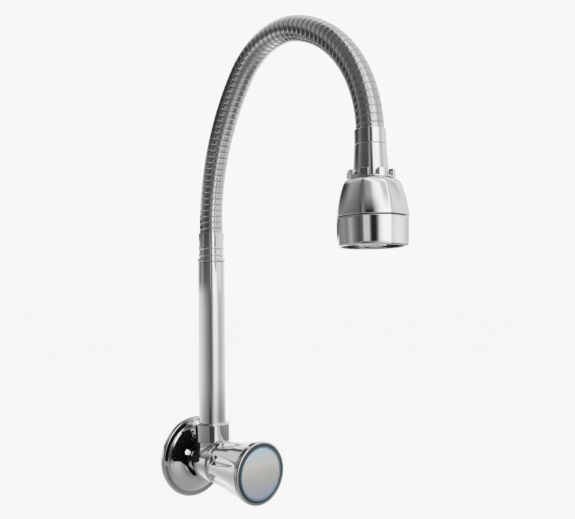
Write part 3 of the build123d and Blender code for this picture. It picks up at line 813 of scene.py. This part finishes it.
class TAP_OT_hose(Making, bpy.types.Operator):
    """Make the wound hose and the water tube in it, each in two halves that meet at the top"""

    bl_idname = "tap.hose"
    bl_label = "Gooseneck hose"

    def execute(self, context):
        # Each half passes from one body to the next between two points, in metres.
        halves = (
            ("lower", 0.0, APEX, "spout", "gooseneck", (0, -0.026, 0.188), (0, -0.05, 0.283)),
            ("upper", APEX, HOSE_LENGTH, "gooseneck", "neck",
             (0, -0.165, 0.322), (0, -0.1987, 0.245)),
        )
        for half, start, end, a, b, leaving, reached in halves:
            stations = round((end - start) / rib_pitch() * RIB_RINGS)
            bm = hose_length_of(start, end, stations, winding, HOSE_BORE, HOSE_SIDES)
            hose = piece(f"wound_hose_{half}", bm, "hose_steel", ["gooseneck_hose"], 60.0)
            bm = hose_length_of(
                start, end, SMOOTH_RINGS, lambda s, angle: TUBE_R, TUBE_BORE, TUBE_SIDES
            )
            liner = piece(f"inner_tube_{half}", bm, "hose_liner", ["water_tube"], 60.0)
            for obj in (hose, liner):
                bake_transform(obj)
            self.mark_groove(hose.data, start, end, stations)
        return {"FINISHED"}

    def mark_groove(self, mesh, start, end, stations):
        """Notes for the material how deep in the winding each corner lies, for its roughness and
        its painted shade. The bore is marked as deepest, so it is painted dark.
        """
        mark = mesh.attributes.new("groove", "FLOAT", "POINT")
        for i, vert in enumerate(mesh.vertices):
            station = i // HOSE_SIDES
            if station > stations:
                # Painted shade: the bore is marked as deepest, so the material paints it darkest.
                mark.data[i].value = 1.0
                continue
            s = start + (end - start) * station / stations
            flat = hose_place(s).inverted() @ (vert.co * 1000)
            mark.data[i].value = sunk(s, math.atan2(flat.y, flat.x))


class TAP_OT_neck(Making, bpy.types.Operator):
    """Make the sleeve at the hose's outlet and the tapered neck under it"""

    bl_idname = "tap.neck"
    bl_label = "Upper sleeve and neck"

    def execute(self, context):
        sleeve = turned(HEAD, [
            (9.35, 232.05), (10.5, 232.05, 0.35), (10.5, 242.3, 0.6), (9.35, 242.3, 0.2),
        ])
        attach(piece("outlet_sleeve", sleeve, "head_chrome", ["upper_ferrule"]), "neck")
        cone = turned(HEAD, [
            (8.1, 210.8), (11.7, 210.8, 0.8), (11.62, 214.6, 1.2), (10.5, 231.98, 0.3),
            (9.4, 231.98), (9.4, 221.9), (8.1, 221.9),
        ])
        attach(piece("tapered_neck", cone, "head_chrome", ["swivel_neck"]), "neck")
        return {"FINISHED"}


class TAP_OT_collar(Making, bpy.types.Operator):
    """Make the castellated collar at the top of the head"""

    bl_idname = "tap.collar"
    bl_label = "Swivel collar"

    def execute(self, context):
        bm = turned(HEAD, [
            (8.1, 203.0), (12.9, 203.0, 0.3), (12.9, 209.05), (16.0, 209.05, 0.2),
            (16.0, 210.25, 0.4), (12.5, 210.25, 0.2), (11.5, 206.6, 0.3), (8.1, 206.6, 0.2),
        ])
        for i in range(LUGS):
            join(bm, self.lug(i))
        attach(piece("castellated_collar", bm, "head_chrome", ["swivel_collar"]), "spray_head")
        return {"FINISHED"}

    def lug(self, index):
        """An upright lug with its sharp edges rounded."""
        wide = math.radians(22.0)
        bm = turned(
            HEAD, [(12.5, 209.6), (16.0, 209.6), (16.0, 214.9), (12.5, 214.9)], steps=8,
            share=wide / math.tau, first=math.tau * (index + 0.5) / LUGS - wide / 2,
        )
        bmesh.ops.holes_fill(bm, edges=bm.edges, sides=0)
        bmesh.ops.recalc_face_normals(bm, faces=bm.faces)
        sharp = [e for e in bm.edges if e.calc_face_angle(0) > math.radians(60)]
        bmesh.ops.bevel(
            bm, geom=sharp, offset=0.55, offset_type="OFFSET", segments=3, profile=0.5,
            affect="EDGES", material=-1, clamp_overlap=True,
        )
        return bm


class TAP_OT_bell(Making, bpy.types.Operator):
    """Make the eight-sided bell of the spray head"""

    bl_idname = "tap.bell"
    bl_label = "Bell"

    def execute(self, context):
        bm = turned(HEAD, [
            (13.0, 209.0, 0.2), (16.9, 209.0, 0.7), (18.8, 207.7), (20.4, 205.7, 1.0),
            (21.55, 202.7), (22.6, 199.3), (23.58, 195.6), (24.4, 191.8), (25.05, 188.0),
            (25.5, 184.4, 0.5), (21.3, 184.4, 0.2), (18.6, 197.0), (13.0, 198.7),
        ], steps=FACETS * 16)
        faceted(bm, 16.0, sizes().crown)
        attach(piece("faceted_bell", bm, "head_chrome", ["bell_shell"], 60.0), "spray_head")
        return {"FINISHED"}


class TAP_OT_mode_ring(Making, bpy.types.Operator):
    """Make the eight-sided ring that chooses stream or spray"""

    bl_idname = "tap.mode_ring"
    bl_label = "Mode ring"

    def execute(self, context):
        bm = turned(HEAD, [
            (20.45, 165.2, 0.3), (24.5, 165.2, 0.9), (24.62, 168.4), (24.75, 172.0),
            (24.87, 175.5), (24.98, 178.5), (25.1, 181.5), (25.2, 184.0, 0.6),
            (21.55, 184.0, 0.2), (21.55, 168.0), (20.45, 168.0),
        ], steps=FACETS * 16)
        faceted(bm, 22.4, sizes().crown)
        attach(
            piece("faceted_mode_ring", bm, "head_chrome", ["mode_ring"], 60.0), "mode_selector"
        )
        return {"FINISHED"}


class TAP_OT_spray_face(Making, bpy.types.Operator):
    """Make the spray plate with its soft nozzles"""

    bl_idname = "tap.spray_face"
    bl_label = "Spray face"

    def execute(self, context):
        plate = turned(HEAD, [
            (9.15, 168.05, 0.3), (21.35, 168.05, 0.3), (21.35, 172.6), (9.15, 172.6),
        ])
        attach(piece("spray_plate", plate, "plate_plastic", ["nozzle_plate"]), "mode_selector")
        nozzles = bmesh.new()
        for i in range(NOZZLES):
            angle = math.tau * i / NOZZLES
            spot = HEAD[0] + Vector((math.cos(angle), math.sin(angle), 0)) * 15.5
            join(nozzles, turned((spot, HEAD[1]), [
                (0.45, 169.2), (0.45, 166.5, 0.1), (0.95, 166.5, 0.2), (1.5, 168.15),
                (1.5, 169.2),
            ], steps=20))
        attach(piece("soft_nozzles", nozzles, "rubber"), "mode_selector")
        return {"FINISHED"}


# Studio


# How much of the pale studio shows through the cloth round the tap, by degrees round from the
# camera. The foot is the lowest band, and each of the others starts between two heights.
CLOTH_FOOT = (
    (-180, 1.0), (-128, 1.0), (-108, 0.45), (-60, 0.18), (-10, 0.2), (10, 0.5), (28, 0.65),
    (50, 0.4), (66, 0.16), (130, 0.2), (155, 0.6), (180, 1.0),
)
CLOTH_BANDS = (
    (-0.24, -0.15, (
        (-180, 1.0), (-160, 1.0), (-119, 0.9), (-90, 0.77), (-68, 0.59), (-48, 0.4),
        (-34, 0.28), (-20, 0.2), (-9, 0.12), (-1, 0.1), (6, 0.28), (15, 0.66), (24, 1.0),
        (52, 1.0), (62, 0.82), (70, 0.67), (82, 0.53), (95, 0.6), (110, 0.71), (130, 0.8),
        (150, 0.92), (180, 1.0),
    )),
    (0.03, 0.045, (
        (-180, 1.0), (-150, 1.0), (-118, 0.3), (-103, 0.16), (-91, 0.32), (-85, 0.23),
        (-79, 0.5), (-73, 0.2), (-67, 0.06), (-55, 0.08), (-30, 0.1), (-7, 0.15), (-3, 0.72),
        (2, 0.65), (3.0, 0.0), (9, 0.0), (10.5, 0.2), (12.5, 0.8), (16, 1.0), (50, 1.0),
        (62, 0.8), (75, 0.8), (86, 0.97), (95, 0.9), (103, 0.69), (112, 0.7), (130, 0.8),
        (150, 0.95), (180, 1.0),
    )),
    (0.135, 0.15, (
        (-180, 1.0), (-146, 1.0), (-138, 0.7), (-113, 0.7), (-104, 0.3), (-88, 0.22), (-72, 0.15),
        (-55, 0.06), (-20, 0.05), (-11, 0.4), (-6, 0.4), (-1, 0.01), (6, 0.01), (11, 0.7),
        (16, 1.0), (48, 1.0), (60, 0.75), (72, 0.6), (85, 0.85), (127, 0.8), (150, 0.95),
        (180, 1.0),
    )),
    (0.35, 0.52, (
        (-180, 0.9), (-150, 0.85), (-120, 0.7), (-105, 0.4), (-88, 0.38), (-78, 0.25),
        (-68, 0.1), (-50, 0.12), (-25, 0.15), (-8, 0.1), (-3, 0.2), (1, 0.4), (5, 0.4),
        (8, 0.85), (11, 1.0), (18, 1.0), (22, 0.6), (25, 0.55), (31, 0.95), (45, 1.0),
        (60, 0.75), (78, 0.6), (86, 0.9), (98, 0.52), (106, 0.9), (130, 0.8), (180, 0.9),
    )),
)
# Where the softbox shines through it: a glow there paints the softbox's reflection in the metal,
# as the lamp itself is hidden from reflections.
CLOTH_WINDOW = ((-180, 0.0), (8, 0.0), (16, 1.0), (50, 1.0), (60, 0.0), (180, 0.0))


class TAP_OT_stage(Making, bpy.types.Operator):
    """Set up the floor, the backdrop, the lamps and the camera"""

    bl_idname = "tap.stage"
    bl_label = "Studio"

    def execute(self, context):
        scene = context.scene
        scene.view_settings.view_transform = "Standard"
        self.set_world(scene)
        self.add_floor()
        self.add_flags()
        self.add_lamps()
        self.add_camera(scene)
        return {"FINISHED"}

    def set_world(self, scene):
        world = bpy.data.worlds.new("pale_studio")
        world.use_nodes = True
        world.node_tree.nodes.clear()
        tree = Nodes(world.node_tree)
        pale = studio().backdrop
        seen = tree.add("ShaderNodeBackground", {"Color": (pale, pale, pale, 1)})
        fill = tree.add(
            "ShaderNodeBackground", {"Color": (1, 1, 1, 1), "Strength": studio().fill}
        )
        both = tree.blended(tree.seen_or_mirrored(), fill.outputs[0], seen.outputs[0])
        tree.add("ShaderNodeOutputWorld", {"Surface": both})
        scene.world = world

    def add_floor(self):
        bm = bmesh.new()
        bmesh.ops.create_grid(bm, x_segments=4, y_segments=4, size=30.0)
        bmesh.ops.translate(bm, vec=Vector((0, 0, studio().floor)), verts=bm.verts)
        floor = self.stage_mesh("studio_floor", bm)
        skin = Skin("pale_floor")
        skin.set(Base_Color=(0.9, 0.9, 0.9, 1), Roughness=0.8)
        pale = studio().backdrop
        share = skin.calc("MULTIPLY", skin.seen_or_mirrored(), 0.8)
        skin.show(skin.blended(share, skin.shader.outputs[0], skin.glow((pale, pale, pale, 1))))
        floor.data.materials.append(skin.material)

    def stage_mesh(self, name, bm):
        mesh = bpy.data.meshes.new(name)
        bm.to_mesh(mesh)
        bm.free()
        obj = bpy.data.objects.new(name, mesh)
        bpy.context.scene.collection.objects.link(obj)
        return obj

    def add_flags(self):
        """A surround of grey cloth that only polished metal mirrors: it gives the chrome its
        dark edges, with a clear gap where the softbox stands and towards the backdrop. Cards
        near the tap are mirrored in the same way."""
        middle = Vector((0, -0.11, 0.12))
        bm = bmesh.new()
        bmesh.ops.create_uvsphere(bm, u_segments=64, v_segments=32, radius=0.9)
        for vert in bm.verts:
            if vert.co.z < 0:
                vert.co.z *= 0.33         # to stay above the floor
        bmesh.ops.translate(bm, vec=middle, verts=bm.verts)
        for face in bm.faces:
            face.smooth = True
        self.mirrored_only("studio_flags", bm, self.flag_cloth(middle))
        flat = Matrix.Identity(4)
        facing_side = Matrix.Rotation(math.pi / 2, 4, "Y")
        for name, place, half, turn in (
            ("card_by_knob", (-0.0635, -0.07, 0.01), (0.0365, 0.04), FACING_OUT),
            ("card_under_arch", (0.05, 0.145, 0.21), (0.3, 0.155), flat),
            ("card_beyond_arch", (0.1, 0.125, 0.335), (0.12, 0.135), facing_side),
            ("card_behind_arch", (-0.07, 0.06, 0.355), (0.18, 0.12), FACING_OUT),
        ):
            card = bmesh.new()
            placed = Matrix.Translation(place) @ turn @ Matrix.Diagonal((*half, 1, 1))
            bmesh.ops.create_circle(card, cap_ends=True, segments=48, radius=1.0, matrix=placed)
            self.mirrored_only(name, card, self.card_cloth(name, placed))
        self.add_flange_card()

    def add_flange_card(self):
        """Painted reflection and painted highlight: a small black card cut to shape in front of
        the flange, seen only in the metal, with a glowing white dot on it.
        """
        # Painted reflection: a black card seen only in the metal, in the shape of the dark patch
        # the flange mirrors.
        card = bmesh.new()
        for x, z in (
            (-3.0, 29.5), (1.2, 31.0), (3.4, 34.0), (6.0, 20.0), (4.0, 0.0), (2.0, -12.0),
            (-0.2, -16.5), (-4.6, -16.4), (-9.7, -10.4), (-12.0, -6.5), (-19.6, -1.7),
            (-27.2, -1.5), (-29.6, 3.0), (-27.6, 10.7), (-22.4, 19.5), (-15.0, 28.0),
        ):
            card.verts.new((x / 1000, -0.0128, z / 1000))
        bmesh.ops.contextual_create(card, geom=card.verts)
        black = Skin("painted_flange_reflection")
        black.set(Base_Color=(0.02, 0.02, 0.022, 1), Roughness=1.0, Specular_IOR_Level=0.0)
        self.mirrored_only("painted_reflection_by_flange", card, black.material)
        # Painted highlight: a glowing white dot, seen only in the metal, that paints a glint where
        # the flange meets the neck.
        dot = bmesh.new()
        placed = Matrix.Translation((-0.012, -0.0122, 0.0058)) @ FACING_OUT
        bmesh.ops.create_circle(dot, cap_ends=True, segments=24, radius=0.0024, matrix=placed)
        white = Skin("painted_highlight_dot")
        white.set(Base_Color=(0, 0, 0, 1), Emission_Color=(1, 1, 1, 1), Emission_Strength=1.0)
        self.mirrored_only("painted_highlight_by_flange", dot, white.material)

    def mirrored_only(self, name, bm, material):
        cloth = self.stage_mesh(name, bm)
        for kind in ("camera", "diffuse", "shadow", "volume_scatter"):
            setattr(cloth, f"visible_{kind}", False)
        cloth.data.materials.append(material)

    def card_cloth(self, name, placed):
        """Black cloth that thins out towards the edge of its card."""
        skin = Skin(f"{name}_cloth")
        back = placed.inverted()
        along = [
            skin.calc("ADD", skin.calc_vector("DOT_PRODUCT", skin.place, row.xyz), row.w)
            for row in (back[0], back[1])
        ]
        out = skin.add("ShaderNodeCombineXYZ", {"X": along[0], "Y": along[1]}).outputs[0]
        thin = skin.ranged(skin.calc_vector("LENGTH", out), 0.0, 1.0, 0.5, 1.0)
        gap = skin.add("ShaderNodeBsdfTransparent").outputs[0]
        skin.show(skin.blended(thin, skin.glow((0.05, 0.05, 0.052, 1)), gap))
        return skin.material

    def flag_cloth(self, middle):
        """Grey cloth in bands, each of its own tones round the tap, with a glow in its window that
        paints the softbox's reflection in the metal.
        """
        skin = Skin("flag_cloth")
        away = skin.calc_vector("SUBTRACT", skin.place, middle)
        bearing = studio().bearing
        right = (math.cos(bearing), math.sin(bearing), 0.0)
        back = (math.sin(bearing), -math.cos(bearing), 0.0)
        along = [skin.calc_vector("DOT_PRODUCT", away, way) for way in (right, back)]
        turn = skin.ranged(skin.calc("ARCTAN2", *along), 0.0, 1.0, -math.pi, math.pi)
        height = skin.add("ShaderNodeSeparateXYZ", {"Vector": away}).outputs["Z"]
        reach = skin.calc_vector("LENGTH", skin.calc_vector("MULTIPLY", away, (1, 1, 0)))
        foot = self.tones(skin, turn, CLOTH_FOOT)
        clear = skin.mixed(skin.ranged(reach, 0.0, 1.0, 0.08, 0.3), (0.4, 0.4, 0.4, 1), foot)
        for start, end, stops in CLOTH_BANDS:
            share = skin.ranged(height, 0.0, 1.0, start, end)
            clear = skin.mixed(share, clear, self.tones(skin, turn, stops))
        gap = skin.add("ShaderNodeBsdfTransparent").outputs[0]
        cloth = skin.blended(clear, skin.glow((0.02, 0.02, 0.022, 1)), gap)
        # Painted reflection: the glow in the window stands for the softbox as the metal mirrors
        # it.
        window = self.tones(skin, turn, CLOTH_WINDOW)
        shine = skin.mixed(skin.ranged(height, 0.0, 1.0, -0.1, 0.1), (0, 0, 0, 1), window)
        lit = {0: cloth, 1: skin.glow(shine, 0.14)}
        skin.show(skin.add("ShaderNodeAddShader", lit).outputs[0])
        return skin.material

    def tones(self, skin, turn, stops):
        """Greys by degrees round from the camera."""
        return skin.ramp(turn, [((at + 180) / 360, (grey, grey, grey, 1)) for at, grey in stops])

    def add_lamps(self):
        """Lamps at a bearing off the camera's, a height above the tap and a distance from it."""
        target = Vector((0, -0.11, 0.15))
        for name, power, size, off, height, away in (
            ("softbox", studio().softbox, (0.7, 1.3), 38, 0.45, 1.5),
            ("top_light", studio().top, (1.4, 1.4), 150, 1.7, 0.3),
        ):
            lamp = bpy.data.lights.new(name, "AREA")
            lamp.shape = "RECTANGLE"
            lamp.size, lamp.size_y = size
            lamp.energy = power
            obj = bpy.data.objects.new(name, lamp)
            turn = studio().bearing + math.radians(off)
            obj.location = target + Vector((math.sin(turn) * away, -math.cos(turn) * away, height))
            obj.rotation_euler = (target - obj.location).to_track_quat("-Z", "Y").to_euler()
            obj.visible_glossy = False
            bpy.context.scene.collection.objects.link(obj)

    def add_camera(self, scene):
        view = studio()
        a, e, roll = view.bearing, view.tilt, view.roll
        back = Vector((math.sin(a) * math.cos(e), -math.cos(a) * math.cos(e), math.sin(e)))
        right = Vector((math.cos(a), math.sin(a), 0))
        up = back.cross(right)
        turned_right = math.cos(roll) * right - math.sin(roll) * up
        turned_up = math.sin(roll) * right + math.cos(roll) * up
        camera = bpy.data.objects.new("camera", bpy.data.cameras.new("camera"))
        camera.data.sensor_width = 36
        camera.data.lens = view.lens
        camera.data.clip_start = 0.01
        turn = Matrix((turned_right, turned_up, back)).transposed()
        camera.matrix_world = Matrix.Translation(view.stand) @ turn.to_4x4()
        scene.collection.objects.link(camera)
        scene.camera = camera


MAKERS = (
    TAP_OT_skins,
    TAP_OT_flange,
    TAP_OT_body,
    TAP_OT_shroud,
    TAP_OT_knob,
    TAP_OT_nut,
    TAP_OT_riser,
    TAP_OT_hose,
    TAP_OT_neck,
    TAP_OT_collar,
    TAP_OT_bell,
    TAP_OT_mode_ring,
    TAP_OT_spray_face,
    TAP_OT_stage,
)


class TAP_PT_panel(bpy.types.Panel):
    """Lists the tap's sizes, finishes and pieces"""

    bl_idname = "TAP_PT_panel"
    bl_label = "Gooseneck tap"
    bl_space_type = "VIEW_3D"
    bl_region_type = "UI"
    bl_category = "Tap"

    def draw(self, context):
        layout = self.layout
        for title, group in (("Sizes", sizes()), ("Finish", finish()), ("Studio", studio())):
            box = layout.box()
            box.label(text=title)
            for name in group.__annotations__:
                box.prop(group, name)
        for maker in MAKERS:
            layout.operator(maker.bl_idname)


GROUPS = (("tap_sizes", TapSizes), ("tap_finish", TapFinish), ("tap_studio", TapStudio))


def register():
    for name, group in GROUPS:
        bpy.utils.register_class(group)
        setattr(bpy.types.Scene, name, PointerProperty(type=group))
    for maker in (*MAKERS, TAP_PT_panel):
        bpy.utils.register_class(maker)


def unregister():
    for maker in (TAP_PT_panel, *reversed(MAKERS)):
        bpy.utils.unregister_class(maker)
    for name, group in reversed(GROUPS):
        delattr(bpy.types.Scene, name)
        bpy.utils.unregister_class(group)


def main():
    register()
    for maker in MAKERS:
        getattr(bpy.ops.tap, maker.bl_idname.split(".")[1])()


if __name__ == "__main__":
    main()
